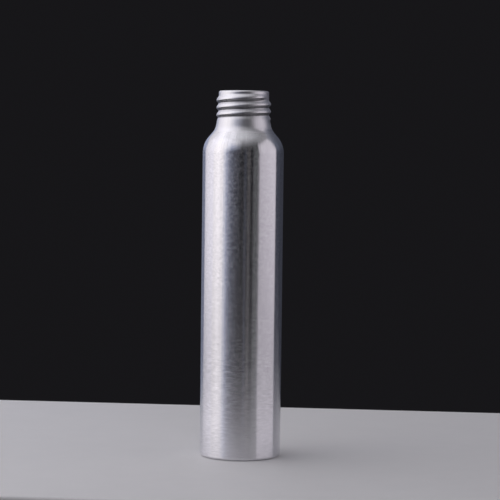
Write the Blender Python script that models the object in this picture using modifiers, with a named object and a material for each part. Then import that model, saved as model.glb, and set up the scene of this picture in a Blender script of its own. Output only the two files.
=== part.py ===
"""Aluminium bottle with a screw neck, open, without its closure.

The bottle is one metal piece: a slug is impact extruded into a cup, the open end is necked in, the thread is
rolled into the neck and the mouth is curled inwards. The second piece is the protective lacquer film that is
sprayed and baked onto the inside. Units are metres, +Z is up, and the origin is the centre of the foot.
"""

import math

import bmesh
import bpy

# Overall sizes
BOTTLE_HEIGHT = 0.1580
BODY_DIAMETER = 0.0350

# Sheet thickness, thin in the ironed body and thicker where the metal is gathered into the neck
BODY_WALL = 0.00045
SHOULDER_WALL = 0.00047
NECK_WALL = 0.00050
BASE_THICKNESS = 0.00090

# Foot: a flat standing ring round a raised, slightly domed panel
FOOT_ROUND = 0.0012
FOOT_RING_WIDTH = 0.0034
FOOT_RAMP_WIDTH = 0.0016
FOOT_RAMP_FILLET = 0.0010
PANEL_HEIGHT = 0.0012
PANEL_DOME_RISE = 0.0009
FLOOR_CORNER_ROUND = 0.0016

# Shoulder and neck, from the body up
SHOULDER_ROUND = 0.0104
SHOULDER_ANGLE = math.radians(40.5)
SHOULDER_FILLET = 0.0048
FLARE_OUTSET = 0.00162
FLARE_ANGLE = math.radians(15)
FLARE_BEND = 0.0030
NECK_DIAMETER = 0.0216
NECK_LENGTH = 0.0108

# Mouth: the edge is curled inwards, with a narrow flat on top that a closure seals against
CURL_ROUND = 0.0008
CURL_FLAT_WIDTH = 0.0003
CURL_END_ANGLE = math.radians(270)

# Rolled screw thread, right handed, 8 turns to the inch
THREAD_HEIGHT = 0.00095
THREAD_PITCH = 0.003175
THREAD_TURNS = 3.0625
THREAD_TOP_DEPTH = 0.00266
THREAD_CREST_WIDTH = 0.0002
THREAD_LOWER_FLANK = 0.00115
THREAD_UPPER_FLANK = 0.00165
THREAD_START_ANGLE = math.radians(-37.5)
THREAD_RUN_OUT_ANGLE = math.radians(45)

# Inner lacquer film, which stops below the curl
FILM_GAP = 0.00004
FILM_THICKNESS = 0.00006
FILM_TOP_GAP = 0.0003

# How finely round shapes are divided
SEGMENTS = 48
ARC_TOLERANCE = 0.00004
PANEL_STEPS = 2
FLANK_STEPS = 2

# How far the thread's tools reach through the neck's two surfaces
THREAD_EMBED = 0.00005
THREAD_ROOT_REACH = 0.00025
THREAD_FACET_OFFSET_SHARE = 0.5

BODY_RADIUS = BODY_DIAMETER / 2
NECK_RADIUS = NECK_DIAMETER / 2
FLARE_RADIUS = NECK_RADIUS + FLARE_OUTSET

# Heights of the outline's corners, before they are rounded
CURL_CENTRE_HEIGHT = BOTTLE_HEIGHT - CURL_ROUND
NECK_FOOT_HEIGHT = BOTTLE_HEIGHT - NECK_LENGTH
FLARE_FOOT_HEIGHT = NECK_FOOT_HEIGHT - (FLARE_RADIUS - NECK_RADIUS) / math.tan(FLARE_ANGLE)
SHOULDER_HEIGHT = FLARE_FOOT_HEIGHT - (BODY_RADIUS - FLARE_RADIUS) / math.tan(SHOULDER_ANGLE)


def clear_scene():
    """Removes the startup objects."""
    for obj in list(bpy.data.objects):
        bpy.data.objects.remove(obj, do_unlink=True)


def collection(name):
    """A new collection in the scene."""
    made = bpy.data.collections.new(name)
    bpy.context.scene.collection.children.link(made)
    return made


def material(name, colour, metallic, roughness):
    """A plain Principled material."""
    made = bpy.data.materials.new(name)
    made.use_nodes = True
    shader = made.node_tree.nodes["Principled BSDF"]
    shader.inputs["Base Color"].default_value = (*colour, 1)
    shader.inputs["Metallic"].default_value = metallic
    shader.inputs["Roughness"].default_value = roughness
    return made


def arc(centre_radius, centre_height, radius, start, end):
    """Points (radius, height) on an arc in the outline's plane, both ends included."""
    step_angle = 2 * math.acos(1 - ARC_TOLERANCE / radius)
    steps = math.ceil(abs(end - start) / step_angle)
    angles = [start + (end - start) * i / steps for i in range(steps + 1)]
    return [(centre_radius + radius * math.cos(a), centre_height + radius * math.sin(a)) for a in angles]


def rounded(before, corner, after, fillet):
    """Points of the arc that rounds a corner between two straight runs, limited by half of the shorter run."""
    runs = []
    for end in (before, after):
        length = math.dist(corner, end)
        runs.append(((end[0] - corner[0]) / length, (end[1] - corner[1]) / length, length))
    (x1, y1, length1), (x2, y2, length2) = runs
    half_angle = math.acos(max(-1, min(1, x1 * x2 + y1 * y2))) / 2
    tangent = min(fillet / math.tan(half_angle), length1 / 2, length2 / 2)
    radius = tangent * math.tan(half_angle)
    to_centre = radius / math.sin(half_angle)
    middle = math.hypot(x1 + x2, y1 + y2)
    centre = (corner[0] + (x1 + x2) / middle * to_centre, corner[1] + (y1 + y2) / middle * to_centre)
    start, end = (
        math.atan2(corner[1] + y * tangent - centre[1], corner[0] + x * tangent - centre[0])
        for x, y in ((x1, y1), (x2, y2))
    )
    turn = (end - start + math.pi) % (2 * math.pi) - math.pi
    return arc(*centre, radius, start, start + turn)


def crossing(line_a, line_b):
    """Where two straight lines meet, each given by two points."""
    (ax, ay), (bx, by) = line_a
    (cx, cy), (dx, dy) = line_b
    cross = (bx - ax) * (dy - cy) - (by - ay) * (dx - cx)
    share = ((cx - ax) * (dy - cy) - (cy - ay) * (dx - cx)) / cross
    return (ax + (bx - ax) * share, ay + (by - ay) * share)


def moved_in(start, end, distance):
    """A run of the outline, from foot to mouth, moved sideways into the metal by a distance."""
    length = math.dist(start, end)
    x, y = -(end[1] - start[1]) / length * distance, (end[0] - start[0]) / length * distance
    return (start[0] + x, start[1] + y), (end[0] + x, end[1] + y)


def outline(depth_share, inset, top):
    """Half outline from the base's centre up to the height top.

    depth_share 0 is the outside and 1 the inside of the sheet. inset moves the line further in, as a film does.
    """
    panel_radius = BODY_RADIUS - FOOT_RING_WIDTH - FOOT_RAMP_WIDTH
    corners = [
        (0, PANEL_HEIGHT),
        (panel_radius, PANEL_HEIGHT),
        (BODY_RADIUS - FOOT_RING_WIDTH, 0),
        (BODY_RADIUS, 0),
        (BODY_RADIUS, SHOULDER_HEIGHT),
        (FLARE_RADIUS, FLARE_FOOT_HEIGHT),
        (NECK_RADIUS, NECK_FOOT_HEIGHT),
        (NECK_RADIUS, top),
    ]
    walls = [BASE_THICKNESS] * 3 + [BODY_WALL, SHOULDER_WALL, NECK_WALL, NECK_WALL]
    depths = [wall * depth_share + inset for wall in walls]
    floor_corner = FLOOR_CORNER_ROUND - inset if depth_share else FOOT_ROUND
    fillets = [
        FOOT_RAMP_FILLET + depths[1],
        FOOT_RAMP_FILLET,
        floor_corner,
        SHOULDER_ROUND - depths[4],
        SHOULDER_FILLET + depths[5],
        FLARE_BEND + depths[6],
    ]
    runs = [moved_in(a, b, depth) for a, b, depth in zip(corners, corners[1:], depths)]
    inner = [crossing(a, b) for a, b in zip(runs, runs[1:])]
    ends = [(0, runs[0][0][1]), *inner, (runs[-1][1][0], top)]
    path = []
    for before, corner, after, fillet in zip(ends, ends[1:], ends[2:], fillets):
        path += rounded(before, corner, after, fillet)
    panel_edge, panel_height = path[0]
    panel = []
    for i in range(PANEL_STEPS):
        share = i / PANEL_STEPS
        panel.append((panel_edge * share, panel_height + PANEL_DOME_RISE * (1 - share * share)))
    return [*panel, *path, ends[-1]]


def curl():
    """The curled mouth, from the inside of the neck's wall round the free edge to the outside."""
    hollow = CURL_ROUND - NECK_WALL
    outer_centre = NECK_RADIUS - CURL_ROUND
    inner_centre = outer_centre - CURL_FLAT_WIDTH
    quarter = math.pi / 2
    inside = arc(outer_centre, CURL_CENTRE_HEIGHT, hollow, 0, quarter)
    inside += arc(inner_centre, CURL_CENTRE_HEIGHT, hollow, quarter, CURL_END_ANGLE)
    outside = arc(inner_centre, CURL_CENTRE_HEIGHT, CURL_ROUND, CURL_END_ANGLE, quarter)
    outside += arc(outer_centre, CURL_CENTRE_HEIGHT, CURL_ROUND, quarter, 0)
    return inside + outside


def without_repeats(points):
    """The points in order, without any that lies on the one before it."""
    smallest_step = FILM_GAP / SEGMENTS
    kept = points[:1]
    for point in points[1:]:
        if math.dist(point, kept[-1]) > smallest_step:
            kept.append(point)
    return kept


def turned(name, profile, finish, home):
    """A solid of revolution from a half outline that starts and ends on the axis."""
    mesh = bpy.data.meshes.new(name)
    points = without_repeats(profile)
    edges = [(i, i + 1) for i in range(len(points) - 1)]
    mesh.from_pydata([(r, 0, z) for r, z in points], edges, [])
    mesh.materials.append(finish)
    obj = bpy.data.objects.new(name, mesh)
    home.objects.link(obj)
    screw = obj.modifiers.new("Turn", "SCREW")
    screw.steps = SEGMENTS
    screw.render_steps = SEGMENTS
    screw.use_merge_vertices = True
    screw.merge_threshold = 0.000001
    screw.use_smooth_shade = True
    return obj


def neck_radius_at(height, depth):
    """Radius of the neck or of the flare below it, depth inside the outer surface."""
    straight = NECK_RADIUS - depth
    below = (NECK_FOOT_HEIGHT - height) * math.tan(FLARE_ANGLE)
    return max(straight, NECK_RADIUS + below - depth / math.cos(FLARE_ANGLE))


def thread_section():
    """Points (height from the crest's middle, share of the thread's height), from the lower root to the upper."""
    half_crest = THREAD_CREST_WIDTH / 2
    lower, upper = [], []
    for i in range(FLANK_STEPS):
        way_up = i / FLANK_STEPS
        share = (1 - math.cos(math.pi * way_up)) / 2
        lower.append((-half_crest - THREAD_LOWER_FLANK * (1 - way_up), share))
        upper.append((half_crest + THREAD_UPPER_FLANK * (1 - way_up), share))
    return [*lower, (-half_crest, 1), (half_crest, 1), *reversed(upper)]


def thread_tool(name, depth, finish, home):
    """The helical ridge that the thread adds outside, or takes out of the inside when depth is the wall.

    It runs out at both ends by sinking under the surface, and the crest keeps its diameter over the flare.
    """
    section = thread_section()
    steps = round(THREAD_TURNS * SEGMENTS)
    top_height = BOTTLE_HEIGHT - THREAD_TOP_DEPTH
    mesh = bmesh.new()
    rings = []
    for i in range(steps + 1):
        turn = i / SEGMENTS
        angle = THREAD_START_ANGLE + 2 * math.pi * (turn + THREAD_FACET_OFFSET_SHARE / SEGMENTS)
        middle = top_height - THREAD_PITCH * (THREAD_TURNS - turn)
        from_end = 2 * math.pi * min(turn, THREAD_TURNS - turn)
        ramp = min(1, from_end / THREAD_RUN_OUT_ANGLE)
        strength = ramp * ramp * (3 - 2 * ramp)
        points = []
        for rise, share in section:
            surface = neck_radius_at(middle + rise, depth) - THREAD_EMBED
            crest = NECK_RADIUS - depth - THREAD_EMBED + share * strength * (THREAD_HEIGHT + THREAD_EMBED)
            points.append((max(surface, crest), middle + rise))
        for rise, _ in (section[-1], section[0]):
            root = neck_radius_at(middle + rise, depth) - THREAD_ROOT_REACH
            points.append((root, middle + rise))
        rings.append([mesh.verts.new((r * math.cos(angle), r * math.sin(angle), z)) for r, z in points])
    for ring, following in zip(rings, rings[1:]):
        for j in range(len(ring)):
            k = (j + 1) % len(ring)
            mesh.faces.new((ring[j], following[j], following[k], ring[k]))
    mesh.faces.new(rings[0])
    mesh.faces.new(reversed(rings[-1]))
    bmesh.ops.recalc_face_normals(mesh, faces=mesh.faces)
    data = bpy.data.meshes.new(name)
    mesh.to_mesh(data)
    mesh.free()
    data.materials.append(finish)
    data.shade_smooth()
    obj = bpy.data.objects.new(name, data)
    obj.hide_render = True
    obj.display_type = "WIRE"
    home.objects.link(obj)
    return obj


def combine(obj, tool, operation):
    """Adds a Boolean modifier."""
    modifier = obj.modifiers.new(tool.name, "BOOLEAN")
    modifier.operation = operation
    modifier.solver = "EXACT"
    modifier.object = tool


def bottle_shell(parts, tools):
    """The metal bottle: one turned sheet with the thread rolled through its neck."""
    aluminium = material("brushed_aluminium", (0.80, 0.81, 0.83), 1.0, 0.35)
    inside = outline(1, 0, CURL_CENTRE_HEIGHT)
    outside = outline(0, 0, CURL_CENTRE_HEIGHT)
    shell = turned("bottle_shell", inside + curl() + outside[::-1], aluminium, parts)
    combine(shell, thread_tool("thread_ridge", 0, aluminium, tools), "UNION")
    combine(shell, thread_tool("thread_groove", NECK_WALL, aluminium, tools), "DIFFERENCE")


def inner_lacquer(parts):
    """The lacquer film on the inside, up to just below the curl."""
    lacquer = material("pale_gold_lacquer", (0.72, 0.62, 0.38), 0.6, 0.30)
    top = CURL_CENTRE_HEIGHT - CURL_ROUND - FILM_TOP_GAP
    film_inside = outline(1, FILM_GAP + FILM_THICKNESS, top)
    film_outside = outline(1, FILM_GAP, top)
    turned("inner_lacquer_film", film_inside + film_outside[::-1], lacquer, parts)


def main():
    clear_scene()
    parts = collection("aluminium_bottle")
    tools = collection("thread_tools")
    bottle_shell(parts, tools)
    inner_lacquer(parts)


main()
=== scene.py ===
import math

import bmesh
import bpy
from mathutils import Matrix, Vector


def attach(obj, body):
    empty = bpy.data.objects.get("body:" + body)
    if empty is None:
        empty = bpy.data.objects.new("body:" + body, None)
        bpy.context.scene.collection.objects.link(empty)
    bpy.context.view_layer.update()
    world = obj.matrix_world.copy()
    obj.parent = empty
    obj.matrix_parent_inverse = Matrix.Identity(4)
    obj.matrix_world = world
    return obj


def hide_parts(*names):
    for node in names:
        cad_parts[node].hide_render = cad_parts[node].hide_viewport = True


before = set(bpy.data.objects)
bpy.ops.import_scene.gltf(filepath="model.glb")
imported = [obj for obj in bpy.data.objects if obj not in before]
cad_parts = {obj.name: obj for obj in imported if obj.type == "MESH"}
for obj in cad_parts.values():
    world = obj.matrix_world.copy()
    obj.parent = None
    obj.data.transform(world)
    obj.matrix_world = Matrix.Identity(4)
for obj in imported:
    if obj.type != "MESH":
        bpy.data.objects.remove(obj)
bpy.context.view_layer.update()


# Where the bottle is seen from: a long lens at the height of its shoulder, 0.8 m away, looking slightly
# down. The lens is a little to the right of the bottle, and the picture leans by two thirds of a degree.

LENS_FROM_AXIS = (0.0034, -0.800, 0.134)
LENS_LENGTH = 133.2
SENSOR_WIDTH = 36.0
NEAREST_SEEN = 0.01
LOOK_DOWN_ANGLE = math.radians(3.192)
LEAN_ANGLE = math.radians(0.68)

lens = bpy.data.cameras.new("camera")
lens.lens = LENS_LENGTH
lens.sensor_width = SENSOR_WIDTH
lens.clip_start = NEAREST_SEEN
camera = bpy.data.objects.new("camera", lens)
bpy.context.scene.collection.objects.link(camera)
aim = Matrix.Rotation(math.pi / 2 - LOOK_DOWN_ANGLE, 4, "X") @ Matrix.Rotation(LEAN_ANGLE, 4, "Z")
camera.matrix_world = Matrix.Translation(LENS_FROM_AXIS) @ aim
bpy.context.scene.camera = camera


# Studio light: large soft boxes on both sides and overhead, and a dim room around them.
# The left box is the brightest and fades towards the front; the right one is dimmer with crisp edges.

COOL_WHITE = (1.0, 0.97, 1.05)
NEUTRAL_WHITE = (1.02, 0.98, 1.0)
BLUE_WHITE = (0.93, 0.95, 1.10)
LAVENDER = (1.01, 0.95, 1.035)
BLUE_GREY = (0.80, 0.88, 1.20)
WARM_GREY = (1.05, 0.98, 0.95)
GREEN_GREY = (0.97, 1.02, 1.02)

LAMP_DISTANCE = 0.9
LEFT_BOX_STRIP = 5
LEFT_BOX_REAR_END = -92
LEFT_BOX_BRIGHT = 0.7

# Each step of a fade: a direction in degrees from the front to the right, and how bright the box is there.
LEFT_BOX_FADE = [
    (-134, 0.66),
    (-112, 0.89),
    (-92, 1.02),
    (-74, 1.26),
    (-64, 1.10),
    (-57, 0.96),
    (-50, 0.48),
    (-40, 0.150),
    (-28, 0.022),
    (-12, 0.002),
]
LEFT_BOX_TOP_FADE = [
    (-134, 0.74),
    (-112, 0.88),
    (-92, 0.98),
    (-70, 1.06),
    (-48, 0.95),
    (-38, 0.52),
    (-28, 0.34),
    (-18, 0.19),
    (-8, 0.05),
]
LEFT_BOX_RIM_FADE = [
    (-134, 0.45),
    (-92, 0.59),
    (-70, 0.63),
    (-48, 0.62),
    (-28, 0.55),
    (-18, 0.32),
    (-8, 0.08),
]

# Each row of the left box: its name and fade, the rises it lies between in degrees, and its shade's tint.
LEFT_BOX_ROWS = [
    ("left_box", LEFT_BOX_FADE, -5, 22, BLUE_GREY),
    ("left_box_top", LEFT_BOX_TOP_FADE, 22, 40, BLUE_GREY),
    ("left_box_rim", LEFT_BOX_RIM_FADE, 40, 58, COOL_WHITE),
]

# Each other box: its name, the directions and rises it lies between in degrees, how bright it looks, its
# colour, and the direction in which it is square to the bottle where that isn't its middle.
RIGHT_BOX_NEAREST = math.radians(100)
SIDE_BOXES = [
    ("left_rear_wall", -172, -134, -20, 12, 0.18, BLUE_GREY, None),
    ("left_rear_wall_middle", -172, -134, 12, 26, 0.42, BLUE_GREY, None),
    ("left_rear_wall_top", -172, -134, 26, 52, 0.62, COOL_WHITE, None),
    ("front_blue", 4, 10, -20, 22, 0.046, BLUE_GREY, None),
    ("front_warm", 13, 21, -20, 22, 0.062, WARM_GREY, None),
    ("front_right", 30, 44, -20, 28, 0.072, GREEN_GREY, None),
    ("right_box_edge", 44, 48, -14, 32, 0.16, COOL_WHITE, None),
    ("right_box", 48, 107, -4, 16, 0.72, LAVENDER, RIGHT_BOX_NEAREST),
    ("right_box_top", 48, 107, 16, 50, 0.56, LAVENDER, RIGHT_BOX_NEAREST),
    ("right_rear_edge", 107, 128, -20, 14, 0.040, BLUE_GREY, None),
    ("right_rear_edge_top", 107, 128, 14, 50, 0.11, BLUE_GREY, None),
    ("right_rear_wall", 128, 172, -20, 14, 0.034, BLUE_GREY, None),
    ("right_rear_wall_top", 128, 172, 14, 50, 0.065, BLUE_GREY, None),
]

OVERHEAD_CENTRE = (-0.62, 0.12, 1.02)
OVERHEAD_AIM = (0, 0, 0.13)
OVERHEAD_SIZE = 0.9
OVERHEAD_RADIANCE = 0.28

ROOM_COLOUR = (0.0085, 0.0082, 0.0095)
CEILING_COLOUR = (0.97, 0.97, 1.03)
CEILING_LEFT = 1.08
CEILING_LEFT_END = -0.8
CEILING_RIGHT = 0.18
CEILING_RIGHT_END = 0.9
CEILING_FALL = 3.4


def soft_box(name, centre, facing, width, height, radiance, colour):
    """A rectangular lamp at a point, facing another one. radiance is how bright it looks, 1 being white."""
    lamp = bpy.data.lights.new(name, "AREA")
    lamp.shape = "RECTANGLE"
    lamp.size = width
    lamp.size_y = height
    lamp.energy = radiance * math.pi * width * height
    lamp.color = colour
    obj = bpy.data.objects.new(name, lamp)
    obj.location = centre
    obj.rotation_euler = (Vector(facing) - Vector(centre)).to_track_quat("-Z", "Y").to_euler()
    obj.visible_camera = False
    bpy.context.scene.collection.objects.link(obj)


def standing_box(name, start, end, bottom, top, radiance, colour, nearest=None):
    """A soft box beside the bottle, between two directions in degrees from the front to the right.

    It is square to the bottle in the direction nearest, in radians, or else in its middle. bottom and top
    are its rises there, in degrees.
    """
    start, end, bottom, top = (math.radians(value) for value in (start, end, bottom, top))
    if nearest is None:
        nearest = (start + end) / 2
    across = [LAMP_DISTANCE * math.tan(edge - nearest) for edge in (start, end)]
    up = [LAMP_DISTANCE * math.tan(edge) for edge in (bottom, top)]
    out = Vector((math.sin(nearest), -math.cos(nearest), 0))
    side = Vector((math.cos(nearest), math.sin(nearest), 0))
    centre = out * LAMP_DISTANCE + side * sum(across) / 2 + Vector((0, 0, sum(up) / 2))
    soft_box(name, centre, centre - out, across[1] - across[0], up[1] - up[0], radiance, colour)


def fading_box(name, fade, bottom, top, shade):
    """A row of the left box, as strips whose brightness follows its fade.

    It is cool at the rear, neutral where it is bright, blue where it turns dim and tinted in its shade.
    """
    for (start, near), (end, far) in zip(fade, fade[1:]):
        if start < LEFT_BOX_REAR_END:
            colour = COOL_WHITE
        elif near > LEFT_BOX_BRIGHT > far:
            colour = BLUE_WHITE
        elif near > LEFT_BOX_BRIGHT:
            colour = NEUTRAL_WHITE
        else:
            colour = shade
        strips = round((end - start) / LEFT_BOX_STRIP)
        for strip in range(strips):
            left = start + (end - start) * strip / strips
            right = start + (end - start) * (strip + 1) / strips
            radiance = near + (far - near) * (strip + 0.5) / strips
            standing_box(f"{name}_{round(left)}", left, right, bottom, top, radiance, colour)


for row in LEFT_BOX_ROWS:
    fading_box(*row)
for box in SIDE_BOXES:
    standing_box(*box)
soft_box(
    "overhead_box",
    OVERHEAD_CENTRE,
    OVERHEAD_AIM,
    OVERHEAD_SIZE,
    OVERHEAD_SIZE,
    OVERHEAD_RADIANCE,
    COOL_WHITE,
)


def calculate(tree, operation, first, second=None, third=None, clamp=False):
    """A Math node, whose inputs are links or plain numbers."""
    node = tree.nodes.new("ShaderNodeMath")
    node.operation = operation
    node.use_clamp = clamp
    for place, value in enumerate((first, second, third)):
        if value is None:
            continue
        if isinstance(value, (int, float)):
            node.inputs[place].default_value = value
        else:
            tree.links.new(value, node.inputs[place])
    return node.outputs["Value"]


def blend(tree, factor, first, second, clamp=True):
    """A colour mixed from two, each a link or a plain colour."""
    node = tree.nodes.new("ShaderNodeMix")
    node.data_type = "RGBA"
    node.clamp_factor = clamp
    for name, value in (("A", first), ("B", second)):
        if isinstance(value, tuple):
            node.inputs[name].default_value = (*value, 1)
        else:
            tree.links.new(value, node.inputs[name])
    tree.links.new(factor, node.inputs["Factor"])
    return node.outputs["Result"]


def room_world():
    """The room: nearly black around the bottle, with a ceiling that glows, most of all on the left."""
    room = bpy.data.worlds.new("room")
    room.use_nodes = True
    tree = room.node_tree
    place = tree.nodes.new("ShaderNodeTexCoord")
    split = tree.nodes.new("ShaderNodeSeparateXYZ")
    tree.links.new(place.outputs["Generated"], split.inputs["Vector"])
    side = tree.nodes.new("ShaderNodeMapRange")
    side.inputs["From Min"].default_value = CEILING_LEFT_END
    side.inputs["From Max"].default_value = CEILING_RIGHT_END
    side.inputs["To Min"].default_value = CEILING_LEFT
    side.inputs["To Max"].default_value = CEILING_RIGHT
    tree.links.new(split.outputs["X"], side.inputs["Value"])
    above = calculate(tree, "MAXIMUM", split.outputs["Z"], 0)
    rise = calculate(tree, "POWER", above, CEILING_FALL)
    glow = calculate(tree, "MULTIPLY", rise, side.outputs["Result"])
    colour = blend(tree, glow, ROOM_COLOUR, CEILING_COLOUR, clamp=False)
    tree.links.new(colour, tree.nodes["Background"].inputs["Color"])
    bpy.context.scene.world = room


room_world()


# The floor: a plain pale board with softened edges, smooth and matt. It lies loose under the bottle and
# ends a hand's width behind it.

BOARD_HALF_WIDTH = 0.152
BOARD_FRONT = -0.110
BOARD_BACK = 0.151
BOARD_THICKNESS = 0.018
BOARD_EDGE_ROUND = 0.0015
BOARD_EDGE_STEPS = 4
BOARD_EDGE_FULLNESS = 0.5
BOARD_CREASE_ANGLE = math.radians(40)
BOARD_TURN = math.radians(-6)
BOARD_COLOUR = (0.80, 0.79, 0.78)
BOARD_SHADE = (0.74, 0.735, 0.73)
BOARD_ROUGHNESS = 0.62
BOARD_GRIT_DEPTH = 0.0002
BOARD_GRIT_STRENGTH = 0.25

# Each noise of the board: its scale, its detail and how rough the detail is.
BOARD_CLOUD = (55, 8, 0.7)
BOARD_GRIT = (1500, 3, 0.5)


def new_material(name, metallic):
    """A material with a plain metalness, and its node tree and Principled shader."""
    made = bpy.data.materials.new(name)
    made.use_nodes = True
    tree = made.node_tree
    shader = tree.nodes["Principled BSDF"]
    shader.inputs["Metallic"].default_value = metallic
    return made, tree, shader


def noise_through(tree, scale, detail, roughness):
    """An even noise through the whole piece."""
    place = tree.nodes.new("ShaderNodeTexCoord")
    noise = tree.nodes.new("ShaderNodeTexNoise")
    noise.inputs["Scale"].default_value = scale
    noise.inputs["Detail"].default_value = detail
    noise.inputs["Roughness"].default_value = roughness
    tree.links.new(place.outputs["Object"], noise.inputs["Vector"])
    return noise.outputs["Fac"]


def bump(tree, height, depth, strength=1.0, before=None):
    """A Bump node on a height, on top of another one where given."""
    node = tree.nodes.new("ShaderNodeBump")
    node.inputs["Distance"].default_value = depth
    node.inputs["Strength"].default_value = strength
    tree.links.new(height, node.inputs["Height"])
    if before is not None:
        tree.links.new(before, node.inputs["Normal"])
    return node.outputs["Normal"]


def board_material():
    """Matt and pale, with a faint cloud in the colour and a fine grit."""
    made, tree, shader = new_material("pale_board", 0)
    shader.inputs["Roughness"].default_value = BOARD_ROUGHNESS
    cloud = noise_through(tree, *BOARD_CLOUD)
    tree.links.new(blend(tree, cloud, BOARD_COLOUR, BOARD_SHADE), shader.inputs["Base Color"])
    grit = bump(tree, noise_through(tree, *BOARD_GRIT), BOARD_GRIT_DEPTH, BOARD_GRIT_STRENGTH)
    tree.links.new(grit, shader.inputs["Normal"])
    return made


def board():
    """The board, with its edges rounded, turned by a few degrees."""
    mesh = bmesh.new()
    size = (2 * BOARD_HALF_WIDTH, BOARD_BACK - BOARD_FRONT, BOARD_THICKNESS)
    middle = (0, (BOARD_BACK + BOARD_FRONT) / 2, -BOARD_THICKNESS / 2)
    bmesh.ops.create_cube(mesh, size=1, matrix=Matrix.Translation(middle) @ Matrix.Diagonal((*size, 1)))
    bmesh.ops.bevel(
        mesh,
        geom=mesh.edges[:],
        offset=BOARD_EDGE_ROUND,
        segments=BOARD_EDGE_STEPS,
        profile=BOARD_EDGE_FULLNESS,
        affect="EDGES",
    )
    data = bpy.data.meshes.new("board")
    mesh.to_mesh(data)
    mesh.free()
    data.shade_smooth()
    data.set_sharp_from_angle(angle=BOARD_CREASE_ANGLE)
    data.materials.append(board_material())
    obj = bpy.data.objects.new("board", data)
    obj.rotation_euler = (0, 0, BOARD_TURN)
    bpy.context.scene.collection.objects.link(obj)


board()


# The bottle itself: one sheet of aluminium, impact extruded from a slug and brushed around the axis. It is
# necked in over the shoulder by dies, which leave lines up the wall, and swells a little under the thread.
# The thread is rolled through the neck's wall and the mouth is curled inwards.

BOTTLE_HEIGHT = 0.1580
BODY_RADIUS = 0.0175
BODY_WALL = 0.00045
SHOULDER_WALL = 0.00047
NECK_WALL = 0.00050
BASE_THICKNESS = 0.00090
FOOT_ROUND = 0.0012
FOOT_RING_WIDTH = 0.0034
FOOT_RAMP_WIDTH = 0.0016
FOOT_RAMP_FILLET = 0.0010
PANEL_HEIGHT = 0.0012
PANEL_DOME_RISE = 0.0009
FLOOR_CORNER_ROUND = 0.0016
SHOULDER_ROUND = 0.0104
SHOULDER_ANGLE = math.radians(40.5)
SHOULDER_HEIGHT = 0.1352
SHOULDER_FILLET = 0.0065
FLARE_RADIUS = 0.01216
SWELL_HEIGHT = 0.0013
SWELL_ANGLE = math.radians(23)
SWELL_ROUND = 0.0060
SWELL_BEND = 0.0016
NECK_RADIUS = 0.0108
NECK_LENGTH = 0.0108
CURL_ROUND = 0.0008
CURL_FLAT_WIDTH = 0.0003
CURL_END_ANGLE = math.radians(270)
THREAD_CREST_RADIUS = 0.01175
THREAD_PITCH = 0.003175
THREAD_TURNS = 3.0625
THREAD_TOP_DEPTH = 0.00266
THREAD_HALF_CREST = 0.00008
THREAD_LOWER_FLANK = 0.0016
THREAD_UPPER_FLANK = 0.0022
THREAD_ROOT_BLEND = 0.00012
THREAD_START_ANGLE = math.radians(-37.5)
THREAD_RUN_OUT_TURNS = 0.135
# The band under each crest where shade is painted into the neck's colour: how far below the crest it is
# full, how far down it ends, and how softly it ends.
UNDER_THREAD_START = 0.0006
UNDER_THREAD_END = 0.0017
UNDER_THREAD_FADE = 0.0005

SEGMENTS = 168
ARC_STEP_ANGLE = math.radians(4)
PANEL_STEPS = 8
THREAD_ROW_HEIGHT = 0.00011
GUARD_STEP = 0.0004
LONG_RUN = 3 * GUARD_STEP
SAME_PLACE = 0.0000007

CURL_CENTRE_HEIGHT = BOTTLE_HEIGHT - CURL_ROUND
NECK_FOOT_HEIGHT = BOTTLE_HEIGHT - NECK_LENGTH
THREAD_FOOT_HEIGHT = NECK_FOOT_HEIGHT - THREAD_PITCH
THREAD_TOP_HEIGHT = BOTTLE_HEIGHT - THREAD_TOP_DEPTH
FLARE_FOOT_HEIGHT = SHOULDER_HEIGHT + (BODY_RADIUS - FLARE_RADIUS) / math.tan(SHOULDER_ANGLE)
SWELL_RADIUS = NECK_RADIUS + SWELL_HEIGHT * math.tan(SWELL_ANGLE)
SWELL_FOOT_HEIGHT = NECK_FOOT_HEIGHT - SWELL_HEIGHT


def arc(centre_radius, centre_height, radius, start, end):
    """Points (radius, height) on an arc in the outline's plane."""
    steps = max(2, math.ceil(abs(end - start) / ARC_STEP_ANGLE))
    angles = [start + (end - start) * i / steps for i in range(steps + 1)]
    return [(centre_radius + radius * math.cos(a), centre_height + radius * math.sin(a)) for a in angles]


def rounded(before, corner, after, fillet):
    """Points of the arc that rounds a corner between two runs, limited by half of the shorter run."""
    runs = []
    for end in (before, after):
        length = math.dist(corner, end)
        runs.append(((end[0] - corner[0]) / length, (end[1] - corner[1]) / length, length))
    (x1, y1, length1), (x2, y2, length2) = runs
    half_angle = math.acos(max(-1, min(1, x1 * x2 + y1 * y2))) / 2
    tangent = min(fillet / math.tan(half_angle), length1 / 2, length2 / 2)
    radius = tangent * math.tan(half_angle)
    to_centre = radius / math.sin(half_angle)
    middle = math.hypot(x1 + x2, y1 + y2)
    centre = (corner[0] + (x1 + x2) / middle * to_centre, corner[1] + (y1 + y2) / middle * to_centre)
    start, end = (
        math.atan2(corner[1] + y * tangent - centre[1], corner[0] + x * tangent - centre[0])
        for x, y in ((x1, y1), (x2, y2))
    )
    turn = (end - start + math.pi) % (2 * math.pi) - math.pi
    return arc(*centre, radius, start, start + turn)


def crossing(line_a, line_b):
    """Where two straight lines meet, each given by two points."""
    (ax, ay), (bx, by) = line_a
    (cx, cy), (dx, dy) = line_b
    cross = (bx - ax) * (dy - cy) - (by - ay) * (dx - cx)
    share = ((cx - ax) * (dy - cy) - (cy - ay) * (dx - cx)) / cross
    return (ax + (bx - ax) * share, ay + (by - ay) * share)


def moved_in(start, end, distance):
    """A run of the outline, from foot to mouth, moved sideways into the metal by a distance."""
    length = math.dist(start, end)
    x = -(end[1] - start[1]) / length * distance
    y = (end[0] - start[0]) / length * distance
    return (start[0] + x, start[1] + y), (end[0] + x, end[1] + y)


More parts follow.
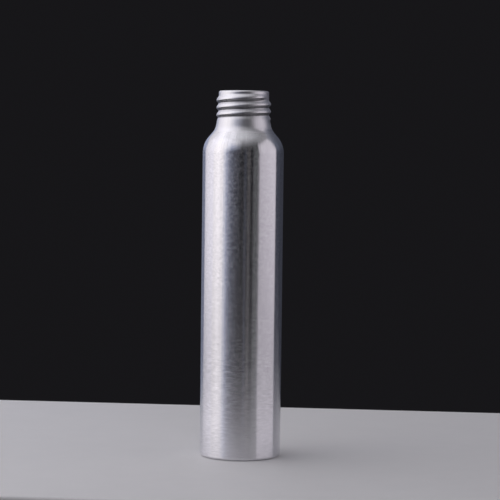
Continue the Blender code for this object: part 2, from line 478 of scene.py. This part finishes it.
def outline(depth_share, inset, top):
    """Half outline from the base's centre up to a height.

    depth_share 0 is the outside of the sheet and 1 the inside; inset moves it further inwards.
    """
    panel_radius = BODY_RADIUS - FOOT_RING_WIDTH - FOOT_RAMP_WIDTH
    corners = [
        (0, PANEL_HEIGHT),
        (panel_radius, PANEL_HEIGHT),
        (BODY_RADIUS - FOOT_RING_WIDTH, 0),
        (BODY_RADIUS, 0),
        (BODY_RADIUS, SHOULDER_HEIGHT),
        (FLARE_RADIUS, FLARE_FOOT_HEIGHT),
        (SWELL_RADIUS, SWELL_FOOT_HEIGHT),
        (NECK_RADIUS, NECK_FOOT_HEIGHT),
        (NECK_RADIUS, top),
    ]
    walls = [BASE_THICKNESS] * 3 + [BODY_WALL, SHOULDER_WALL] + [NECK_WALL] * 3
    depths = [wall * depth_share + inset for wall in walls]
    floor_corner = FLOOR_CORNER_ROUND - inset if depth_share else FOOT_ROUND
    fillets = [
        FOOT_RAMP_FILLET + depths[1],
        FOOT_RAMP_FILLET,
        floor_corner,
        SHOULDER_ROUND - depths[4],
        SHOULDER_FILLET + depths[5],
        SWELL_ROUND - depths[6],
        SWELL_BEND + depths[7],
    ]
    runs = [moved_in(a, b, depth) for a, b, depth in zip(corners, corners[1:], depths)]
    inner = [crossing(a, b) for a, b in zip(runs, runs[1:])]
    ends = [(0, runs[0][0][1]), *inner, (runs[-1][1][0], top)]
    path = []
    for before, corner, after, fillet in zip(ends, ends[1:], ends[2:], fillets):
        path += rounded(before, corner, after, fillet)
    panel_edge, panel_height = path[0]
    panel = []
    for i in range(PANEL_STEPS):
        share = i / PANEL_STEPS
        panel.append((panel_edge * share, panel_height + PANEL_DOME_RISE * (1 - share * share)))
    return [*panel, *path, ends[-1]]


def curl():
    """The curled mouth, from the inside of the neck's wall round the free edge to the outside."""
    hollow = CURL_ROUND - NECK_WALL
    outer_centre = NECK_RADIUS - CURL_ROUND
    inner_centre = outer_centre - CURL_FLAT_WIDTH
    quarter = math.pi / 2
    inside = arc(outer_centre, CURL_CENTRE_HEIGHT, hollow, 0, quarter)
    inside += arc(inner_centre, CURL_CENTRE_HEIGHT, hollow, quarter, CURL_END_ANGLE)
    outside = arc(inner_centre, CURL_CENTRE_HEIGHT, CURL_ROUND, CURL_END_ANGLE, quarter)
    outside += arc(outer_centre, CURL_CENTRE_HEIGHT, CURL_ROUND, quarter, 0)
    return inside + outside


def without_repeats(points):
    """The points in order, without any that lies on the one before it."""
    kept = points[:1]
    for point in points[1:]:
        if math.dist(point, kept[-1]) > SAME_PLACE:
            kept.append(point)
    return kept


def with_rows(points):
    """The outline with close rows of points through the thread, and one near both ends of a long run."""
    rows = points[:1]
    for start, end in zip(points, points[1:]):
        length = math.dist(start, end)
        if min(start[1], end[1]) >= THREAD_FOOT_HEIGHT and length > THREAD_ROW_HEIGHT:
            count = math.ceil(length / THREAD_ROW_HEIGHT)
            shares = [i / count for i in range(1, count)]
        elif length > LONG_RUN:
            shares = [GUARD_STEP / length, 1 - GUARD_STEP / length]
        else:
            shares = []
        rows += [(start[0] + (end[0] - start[0]) * s, start[1] + (end[1] - start[1]) * s) for s in shares]
        rows.append(end)
    return rows


def smooth_step(share):
    """0 below 0, 1 above 1, and an even S curve between them."""
    share = max(0, min(1, share))
    return share * share * (3 - 2 * share)


def turns_at(height, angle):
    """For each turn of the thread at an angle, the height above its crest and its share of full depth."""
    first = ((angle - THREAD_START_ANGLE) / (2 * math.pi)) % 1
    for whole in range(math.ceil(THREAD_TURNS)):
        turn = first + whole
        if turn > THREAD_TURNS:
            continue
        crest_height = THREAD_TOP_HEIGHT - THREAD_PITCH * (THREAD_TURNS - turn)
        yield height - crest_height, smooth_step(min(turn, THREAD_TURNS - turn) / THREAD_RUN_OUT_TURNS)


def thread_share(height, angle):
    """How far the rolled thread stands out at a place on the neck, 0 on the root and 1 on the crest."""
    left_flat = 1
    for above, fullness in turns_at(height, angle):
        flank = THREAD_UPPER_FLANK if above > 0 else THREAD_LOWER_FLANK
        rise = smooth_step(1 - (abs(above) - THREAD_HALF_CREST) / flank)
        left_flat *= 1 - rise * fullness
    return 1 - left_flat


def painted_shade_under_thread(height, angle):
    """How deep a place lies in the hollow under a crest, 0 to 1, where shade is painted into the neck's
    colour.
    """
    shade = 0
    for above, fullness in turns_at(height, angle):
        enter = smooth_step(-above / UNDER_THREAD_START)
        leave = smooth_step((UNDER_THREAD_END + above) / UNDER_THREAD_FADE)
        shade = max(shade, enter * leave * fullness)
    return shade


def rolled_out(height, surface_out, angle):
    """How far the wall is rolled out at a place. The crest keeps its width where the neck widens."""
    crest = THREAD_CREST_RADIUS - NECK_RADIUS + THREAD_ROOT_BLEND
    over = thread_share(height, angle) * crest - THREAD_ROOT_BLEND - surface_out
    if over <= -THREAD_ROOT_BLEND:
        return 0
    if over >= THREAD_ROOT_BLEND:
        return over
    return (over + THREAD_ROOT_BLEND) ** 2 / (4 * THREAD_ROOT_BLEND)


def flare_out(height):
    """How far the neck has widened at a height, on the outside of the sheet."""
    below = NECK_FOOT_HEIGHT - height
    if below <= SWELL_HEIGHT:
        return max(0, below) * math.tan(SWELL_ANGLE)
    slope = (FLARE_RADIUS - SWELL_RADIUS) / (SWELL_FOOT_HEIGHT - FLARE_FOOT_HEIGHT)
    return SWELL_RADIUS - NECK_RADIUS + (below - SWELL_HEIGHT) * slope


def lathe(name, profile, threaded):
    """A fine mesh of revolution from a closed half outline, with the thread rolled through where asked."""
    low = THREAD_FOOT_HEIGHT
    high = THREAD_TOP_HEIGHT + THREAD_PITCH / 2
    vertices = []
    rings = []
    for radius, height in without_repeats(profile):
        if radius < SAME_PLACE:
            rings.append([len(vertices)] * SEGMENTS)
            vertices.append((0, 0, height))
            continue
        ring = []
        flare = flare_out(height)
        for i in range(SEGMENTS):
            angle = 2 * math.pi * i / SEGMENTS
            out = rolled_out(height, flare, angle) if threaded and low < height < high else 0
            ring.append(len(vertices))
            vertices.append(((radius + out) * math.cos(angle), (radius + out) * math.sin(angle), height))
        rings.append(ring)
    faces = []
    for ring, following in zip(rings, rings[1:]):
        for i in range(SEGMENTS):
            j = (i + 1) % SEGMENTS
            corners = [ring[i], ring[j], following[j], following[i]]
            faces.append([c for k, c in enumerate(corners) if c != corners[k - 1]])
    data = bpy.data.meshes.new(name)
    data.from_pydata(vertices, [], faces)
    data.shade_smooth()
    if threaded:
        # The painted shade under each crest, kept on the points for the neck's colour.
        under = data.attributes.new("thread_painted_shade", "FLOAT", "POINT")
        for point, (x, y, height) in zip(under.data, vertices):
            point.value = painted_shade_under_thread(height, math.atan2(y, x)) if low < height < high else 0
    obj = bpy.data.objects.new(name, data)
    bpy.context.scene.collection.objects.link(obj)
    return obj


def new_group(name, inputs, output):
    """A node group with named number inputs and one number output, and its two end nodes."""
    tree = bpy.data.node_groups.new(name, "ShaderNodeTree")
    for title in inputs:
        tree.interface.new_socket(name=title, in_out="INPUT", socket_type="NodeSocketFloat")
    tree.interface.new_socket(name=output, in_out="OUTPUT", socket_type="NodeSocketFloat")
    return tree, tree.nodes.new("NodeGroupInput"), tree.nodes.new("NodeGroupOutput")


def drawn_out_noise(tree, entry, sideways, height):
    """A noise on a sideways vector and a height, drawn out by the group's scales around and along."""
    split = tree.nodes.new("ShaderNodeSeparateXYZ")
    tree.links.new(sideways, split.inputs["Vector"])
    join = tree.nodes.new("ShaderNodeCombineXYZ")
    for axis in ("X", "Y"):
        scaled = calculate(tree, "MULTIPLY", split.outputs[axis], entry.outputs["Around"])
        tree.links.new(scaled, join.inputs[axis])
    tree.links.new(calculate(tree, "MULTIPLY", height, entry.outputs["Along"]), join.inputs["Z"])
    noise = tree.nodes.new("ShaderNodeTexNoise")
    noise.inputs["Scale"].default_value = 1
    tree.links.new(join.outputs["Vector"], noise.inputs["Vector"])
    return noise


def turned_grain_group():
    """Brushed marks: long around the bottle and fine along it, or the other way round, without a seam."""
    tree, entry, outlet = new_group("turned_grain", ("Around", "Along", "Detail"), "Grain")
    place = tree.nodes.new("ShaderNodeTexCoord")
    split = tree.nodes.new("ShaderNodeSeparateXYZ")
    tree.links.new(place.outputs["Object"], split.inputs["Vector"])
    noise = drawn_out_noise(tree, entry, place.outputs["Object"], split.outputs["Z"])
    tree.links.new(entry.outputs["Detail"], noise.inputs["Detail"])
    tree.links.new(noise.outputs["Fac"], outlet.inputs["Grain"])
    return tree


LINE_DETAIL = 2


def drawn_lines_group():
    """Lines up the wall, as the necking dies leave them: fine around the axis and long up the slope."""
    tree, entry, outlet = new_group("drawn_lines", ("Around", "Along"), "Lines")
    place = tree.nodes.new("ShaderNodeTexCoord")
    split = tree.nodes.new("ShaderNodeSeparateXYZ")
    tree.links.new(place.outputs["Object"], split.inputs["Vector"])
    flat = tree.nodes.new("ShaderNodeCombineXYZ")
    for axis in ("X", "Y"):
        tree.links.new(split.outputs[axis], flat.inputs[axis])
    unit = tree.nodes.new("ShaderNodeVectorMath")
    unit.operation = "NORMALIZE"
    tree.links.new(flat.outputs["Vector"], unit.inputs[0])
    noise = drawn_out_noise(tree, entry, unit.outputs["Vector"], split.outputs["Z"])
    noise.inputs["Detail"].default_value = LINE_DETAIL
    tree.links.new(noise.outputs["Fac"], outlet.inputs["Lines"])
    return tree


TURNED_GRAIN = turned_grain_group()
DRAWN_LINES = drawn_lines_group()


def placed(tree, group, values):
    """An effect placed in a material, with a value for each of the group's inputs in turn."""
    node = tree.nodes.new("ShaderNodeGroup")
    node.node_tree = group
    for entry, value in zip(node.inputs, values):
        entry.default_value = value
    return node.outputs[0]


def stretched(tree, value, gain, shift):
    """A noise made stronger, and held between 0 and 1."""
    return calculate(tree, "MULTIPLY_ADD", value, gain, shift, clamp=True)


def height_mask(tree, low, high):
    """0 below a height on the bottle and 1 above another, with a soft step between them."""
    place = tree.nodes.new("ShaderNodeTexCoord")
    split = tree.nodes.new("ShaderNodeSeparateXYZ")
    tree.links.new(place.outputs["Object"], split.inputs["Vector"])
    step = tree.nodes.new("ShaderNodeMapRange")
    step.interpolation_type = "SMOOTHSTEP"
    step.inputs["From Min"].default_value = low
    step.inputs["From Max"].default_value = high
    tree.links.new(split.outputs["Z"], step.inputs["Value"])
    return step.outputs["Result"]


QUARTER_TURN = 0.25


def brush_around(tree, shader, strength):
    """Turned lines finer than can be drawn. They spread a reflection up and down the wall, not around."""
    shader.inputs["Anisotropic"].default_value = strength
    shader.inputs["Anisotropic Rotation"].default_value = QUARTER_TURN
    tangent = tree.nodes.new("ShaderNodeTangent")
    tangent.direction_type = "RADIAL"
    tangent.axis = "Z"
    tree.links.new(tangent.outputs["Tangent"], shader.inputs["Tangent"])


# Each grain's scale around the axis, scale along the wall and detail. The lines share one detail.
FLECKS = (680, 1200, 1.0)
DASHES = (330, 1900, 2.0)
BODY_PATCHES = (90, 60, 4.0)
NECK_PATCHES = (140, 300, 3.0)
DIE_LINES = (46, 70)
SOFT_DIE_LINES = (14, 25)
HAIR_LINES = (170, 60)

# How much a noise is stretched, and shifted after that, to bring out the marks and the lines.
MARK_CONTRAST = (3.2, -1.1)
LINE_CONTRAST = (2.0, -0.4)

# The heights between which dashes give way to flecks, and the shoulder's finish and the hair lines begin.
FLECKS_FROM = (0.010, 0.110)
SHOULDER_FROM = (0.130, 0.135)
HAIR_FROM = (0.1400, 0.1460)

BODY_DULL = (0.825, 0.815, 0.85)
BODY_BRIGHT = (0.95, 0.94, 0.97)
SHOULDER_DULL = (0.80, 0.79, 0.82)
SHOULDER_BRIGHT = (0.935, 0.93, 0.945)
NECK_DULL = (0.82, 0.81, 0.835)
NECK_BRIGHT = (0.945, 0.94, 0.955)
# Painted shade for the hollows under the thread's crests, and how much of it is mixed in.
PAINTED_HOLLOW_SHADE = (0.10, 0.10, 0.11)
PAINTED_HOLLOW_SHADE_STRENGTH = 0.66

BODY_BRUSHING = 0.98
BODY_SMOOTHEST = 0.205
BODY_PATCH_ROUGHNESS = 0.02
MARK_ROUGHNESS = 0.05
SHOULDER_ROUGHNESS = -0.03
NECK_SMOOTHER = 0.055
NECK_LINE_ROUGHNESS = 0.05
NECK_PATCH_ROUGHNESS = 0.06

MARK_DEPTH = 0.000012
SOFT_DIE_LINE_DEPTH = 0.00004
DIE_LINE_DEPTH = 0.00001
HAIR_DEPTH = 0.000018

# Each step of the neck's finish: from which height, its name, its roughness and how strongly it is brushed.
NECK_FINISHES = [
    (0.1388, "brushed_flare", 0.256, 0.844),
    (0.1402, "satin_flare", 0.314, 0.567),
    (0.1416, "satin_neck", 0.385, 0),
]


def body_material():
    """The brushed part, below the flare: dashes near the foot, flecks above, die lines on the shoulder."""
    made, tree, shader = new_material("brushed_aluminium", 1)
    brush_around(tree, shader, BODY_BRUSHING)
    on_shoulder = height_mask(tree, *SHOULDER_FROM)
    near_foot = calculate(tree, "SUBTRACT", 1, height_mask(tree, *FLECKS_FROM))
    fleck = placed(tree, TURNED_GRAIN, FLECKS)
    dash = placed(tree, TURNED_GRAIN, DASHES)
    marks = calculate(tree, "MULTIPLY_ADD", near_foot, calculate(tree, "SUBTRACT", dash, fleck), fleck)
    strong = stretched(tree, marks, *MARK_CONTRAST)
    drawn = placed(tree, DRAWN_LINES, DIE_LINES)
    worn = blend(tree, on_shoulder, strong, stretched(tree, drawn, *LINE_CONTRAST))
    dull = blend(tree, on_shoulder, BODY_DULL, SHOULDER_DULL)
    bright = blend(tree, on_shoulder, BODY_BRIGHT, SHOULDER_BRIGHT)
    tree.links.new(blend(tree, worn, dull, bright), shader.inputs["Base Color"])
    patch = placed(tree, TURNED_GRAIN, BODY_PATCHES)
    rough = calculate(tree, "MULTIPLY_ADD", patch, BODY_PATCH_ROUGHNESS, BODY_SMOOTHEST)
    rough = calculate(tree, "MULTIPLY_ADD", strong, MARK_ROUGHNESS, rough)
    rough = calculate(tree, "MULTIPLY_ADD", on_shoulder, SHOULDER_ROUGHNESS, rough)
    tree.links.new(rough, shader.inputs["Roughness"])
    normal = bump(tree, marks, MARK_DEPTH)
    soft = calculate(tree, "MULTIPLY", placed(tree, DRAWN_LINES, SOFT_DIE_LINES), on_shoulder)
    normal = bump(tree, soft, SOFT_DIE_LINE_DEPTH, before=normal)
    crisp = calculate(tree, "MULTIPLY", drawn, on_shoulder)
    tree.links.new(bump(tree, crisp, DIE_LINE_DEPTH, before=normal), shader.inputs["Normal"])
    return made


def neck_material(name, satin, brushed):
    """The necked part: burnished satin by the dies and the thread rolls, with fine lines up the wall and
    painted shade under the thread's crests.
    """
    made, tree, shader = new_material(name, 1)
    if brushed:
        brush_around(tree, shader, brushed)
    broad = placed(tree, DRAWN_LINES, DIE_LINES)
    colour = blend(tree, stretched(tree, broad, *LINE_CONTRAST), NECK_DULL, NECK_BRIGHT)
    # Shade painted into the hollows under the crests, darkening the colour there.
    painted_shade_node = tree.nodes.new("ShaderNodeAttribute")
    painted_shade_node.attribute_name = "thread_painted_shade"
    shade = calculate(tree, "MULTIPLY", painted_shade_node.outputs["Fac"], PAINTED_HOLLOW_SHADE_STRENGTH)
    tree.links.new(blend(tree, shade, colour, PAINTED_HOLLOW_SHADE), shader.inputs["Base Color"])
    patch = placed(tree, TURNED_GRAIN, NECK_PATCHES)
    rough = calculate(tree, "MULTIPLY_ADD", broad, NECK_LINE_ROUGHNESS, satin - NECK_SMOOTHER)
    rough = calculate(tree, "MULTIPLY_ADD", patch, NECK_PATCH_ROUGHNESS, rough)
    tree.links.new(rough, shader.inputs["Roughness"])
    hair = placed(tree, DRAWN_LINES, HAIR_LINES)
    hair = calculate(tree, "MULTIPLY", hair, height_mask(tree, *HAIR_FROM))
    tree.links.new(bump(tree, hair, HAIR_DEPTH), shader.inputs["Normal"])
    return made


def finish_shell(obj):
    """Brushed up to the flare, where the dies closed the turned lines step by step, and satin above it."""
    obj.data.materials.append(body_material())
    for _, name, satin, brushed in NECK_FINISHES:
        obj.data.materials.append(neck_material(name, satin, brushed))
    for face in obj.data.polygons:
        face.material_index = sum(face.center.z > height for height, *_ in NECK_FINISHES)


inside = outline(1, 0, CURL_CENTRE_HEIGHT)
outside = outline(0, 0, CURL_CENTRE_HEIGHT)
shell = lathe("brushed_shell", with_rows(without_repeats(inside + curl() + outside[::-1])), True)
finish_shell(shell)
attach(shell, "root")
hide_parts("bottle_shell")


# The lacquer film inside: a thin pale gold skin, sprayed and baked onto the bare metal to keep the contents
# off it, which ends just below the curled mouth.

FILM_GAP = 0.00004
FILM_THICKNESS = 0.00006
FILM_TOP_GAP = 0.0003
FILM_DEEP = (0.80, 0.73, 0.56)
FILM_PALE = (0.88, 0.83, 0.69)
FILM_METALNESS = 0.85
FILM_SMOOTHEST = 0.2
FILM_FLOW_ROUGHNESS = 0.2
FILM_COAT = 0.5
FILM_COAT_ROUGHNESS = 0.12
FILM_FLOW = (120, 45, 4.0)
FILM_PEEL = (700, 700, 2.0)
FILM_PEEL_DEPTH = 0.00005
FILM_PEEL_STRENGTH = 0.3


def film_material():
    """Pale gold over the metal's shine, thicker and thinner where it flowed, with a fine peel."""
    made, tree, shader = new_material("pale_gold_lacquer", FILM_METALNESS)
    shader.inputs["Coat Roughness"].default_value = FILM_COAT_ROUGHNESS
    shader.inputs["Coat Weight"].default_value = FILM_COAT
    flow = placed(tree, TURNED_GRAIN, FILM_FLOW)
    tree.links.new(blend(tree, flow, FILM_DEEP, FILM_PALE), shader.inputs["Base Color"])
    rough = calculate(tree, "MULTIPLY_ADD", flow, FILM_FLOW_ROUGHNESS, FILM_SMOOTHEST)
    tree.links.new(rough, shader.inputs["Roughness"])
    peel = placed(tree, TURNED_GRAIN, FILM_PEEL)
    tree.links.new(bump(tree, peel, FILM_PEEL_DEPTH, FILM_PEEL_STRENGTH), shader.inputs["Normal"])
    return made


film_top = CURL_CENTRE_HEIGHT - CURL_ROUND - FILM_TOP_GAP
film_inside = outline(1, FILM_GAP + FILM_THICKNESS, film_top)
film_outside = outline(1, FILM_GAP, film_top)
film = lathe("lacquer_film", film_inside + film_outside[::-1], False)
film.data.materials.append(film_material())
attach(film, "root")
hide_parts("inner_lacquer_film")


# The picture shows each colour as it is lit.

scene_settings = bpy.context.scene.view_settings
scene_settings.view_transform = "Standard"
